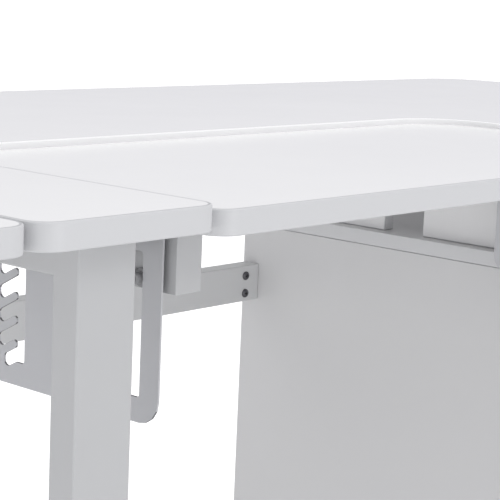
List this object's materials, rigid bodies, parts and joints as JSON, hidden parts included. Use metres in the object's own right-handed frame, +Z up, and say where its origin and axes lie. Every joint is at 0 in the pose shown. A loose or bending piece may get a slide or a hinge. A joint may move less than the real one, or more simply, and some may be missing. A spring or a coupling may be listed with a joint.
{
  "type": "sewing table",
  "caption": "Sewing table with a U-shaped top, height-adjustable machine platform in its cut-out, fold-down side leaf, steel end frame and storage cabinet",
  "frame": {"origin": "on the floor, under the middle of the opened table", "axes": "+X along the front edge from the leaf to the cabinet, +Y from the user to the back, +Z up"},
  "size_m": [1.677, 0.694, 0.762],
  "materials": {
    "top_board": "smooth white melamine with a soft sheen",
    "cabinet_board": "satin white melamine",
    "frame_paint": "light grey-white powder coat",
    "plate_paint": "light grey powder coat",
    "steel": "satin plated steel",
    "dark_steel": "dark plated screw",
    "glide_plastic": "black moulded plastic"
  },
  "bodies": {
    "root": {"main_top": "top_board", "left_front_leg": "frame_paint", "left_rear_leg": "frame_paint", "left_top_rail": "frame_paint", "left_foot_rail": "frame_paint", "rear_crossbar": "frame_paint", "comb_plate_left": "plate_paint", "comb_plate_right": "plate_paint", "leaf_hinge_plate_front": "steel", "leaf_hinge_plate_rear": "steel", "leaf_hinge_pin_front": "steel", "leaf_hinge_pin_rear": "steel", "crossbar_bracket": "steel", "cabinet_runner_left": "steel", "cabinet_runner_right": "steel", "door_hinge_arm_lower": "steel", "door_hinge_arm_upper": "steel", "crossbar_screw_upper": "dark_steel", "crossbar_screw_lower": "dark_steel", "left_front_foot_glide": "glide_plastic", "left_rear_foot_glide": "glide_plastic", "cabinet_side_left": "cabinet_board", "cabinet_side_right": "cabinet_board", "cabinet_top": "cabinet_board", "cabinet_bottom": "cabinet_board", "cabinet_back": "cabinet_board", "cabinet_plinth": "cabinet_board", "cabinet_divider": "cabinet_board", "cabinet_shelf": "cabinet_board", "riser_left_front": "cabinet_board", "riser_left_rear": "cabinet_board", "riser_right_front": "cabinet_board", "riser_right_rear": "cabinet_board"},
    "platform": {"platform_panel": "top_board", "platform_rail_left": "frame_paint", "platform_rail_right": "frame_paint", "platform_peg_left_front": "steel", "platform_peg_left_rear": "steel", "platform_peg_right_front": "steel", "platform_peg_right_rear": "steel"},
    "leaf": {"side_leaf": "top_board", "leaf_hinge_arm_front": "steel", "leaf_hinge_arm_rear": "steel"},
    "drawer": {"drawer_front": "cabinet_board", "drawer_side_left": "cabinet_board", "drawer_side_right": "cabinet_board", "drawer_bottom": "cabinet_board", "drawer_back": "cabinet_board", "drawer_handle": "steel", "drawer_runner_left": "steel", "drawer_runner_right": "steel"},
    "door": {"cabinet_door": "cabinet_board", "door_handle": "steel", "door_hinge_cup_lower": "steel", "door_hinge_cup_upper": "steel"}
  },
  "joints": [
    {"name": "platform_height", "type": "slide", "parent": "root", "child": "platform", "axis": [0, 0, 1], "range_m": [-0.069, 0]},
    {"name": "leaf_fold", "type": "hinge", "parent": "root", "child": "leaf", "pos_m": [-0.5175, 0, 0.7417], "axis": [0, -1, 0], "range_deg": [0, 90]},
    {"name": "drawer_slide", "type": "slide", "parent": "root", "child": "drawer", "axis": [0, -1, 0], "range_m": [0, 0.33]},
    {"name": "door_swing", "type": "hinge", "parent": "root", "child": "door", "pos_m": [0.807, -0.2873, 0.3], "axis": [0, 0, 1], "range_deg": [0, 100]}
  ]
}
